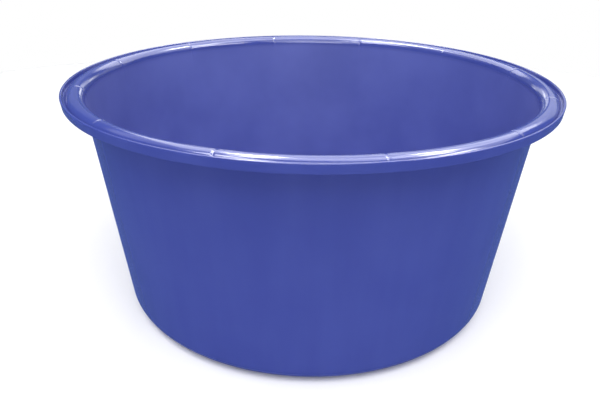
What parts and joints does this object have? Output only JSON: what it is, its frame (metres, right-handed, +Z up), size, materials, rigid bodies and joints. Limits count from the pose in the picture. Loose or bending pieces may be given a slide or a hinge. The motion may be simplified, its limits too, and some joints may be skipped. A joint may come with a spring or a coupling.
{
  "type": "mortar mixing tub",
  "caption": "Round blue plastic mortar tub with tapered walls, a rounded bottom corner and a rolled rim with a gutter, a lip and a skirt ribbed inside",
  "frame": {"origin": "centre of the foot ring's underside, on the surface that the tub stands on", "axes": "+Z up along the tub's round axis; +X to the right and -Y towards the viewer, both between two ribs"},
  "size_m": [0.7, 0.7, 0.329],
  "materials": {
    "blue_polyethylene": "gloss"
  },
  "bodies": {
    "root": {"base_corner": "blue_polyethylene", "base_plate": "blue_polyethylene", "foot_ring": "blue_polyethylene", "side_wall_right": "blue_polyethylene", "side_wall_back": "blue_polyethylene", "side_wall_left": "blue_polyethylene", "side_wall_front": "blue_polyethylene", "rim_roll_right": "blue_polyethylene", "rim_roll_back": "blue_polyethylene", "rim_roll_left": "blue_polyethylene", "rim_roll_front": "blue_polyethylene", "rim_gutter_right": "blue_polyethylene", "rim_gutter_back": "blue_polyethylene", "rim_gutter_left": "blue_polyethylene", "rim_gutter_front": "blue_polyethylene", "rim_skirt_right": "blue_polyethylene", "rim_skirt_back": "blue_polyethylene", "rim_skirt_left": "blue_polyethylene", "rim_skirt_front": "blue_polyethylene", "rim_rib_01": "blue_polyethylene", "rim_rib_02": "blue_polyethylene", "rim_rib_03": "blue_polyethylene", "rim_rib_04": "blue_polyethylene", "rim_rib_05": "blue_polyethylene", "rim_rib_06": "blue_polyethylene", "rim_rib_07": "blue_polyethylene", "rim_rib_08": "blue_polyethylene", "rim_rib_09": "blue_polyethylene", "rim_rib_10": "blue_polyethylene", "rim_rib_11": "blue_polyethylene", "rim_rib_12": "blue_polyethylene"}
  },
  "joints": []
}
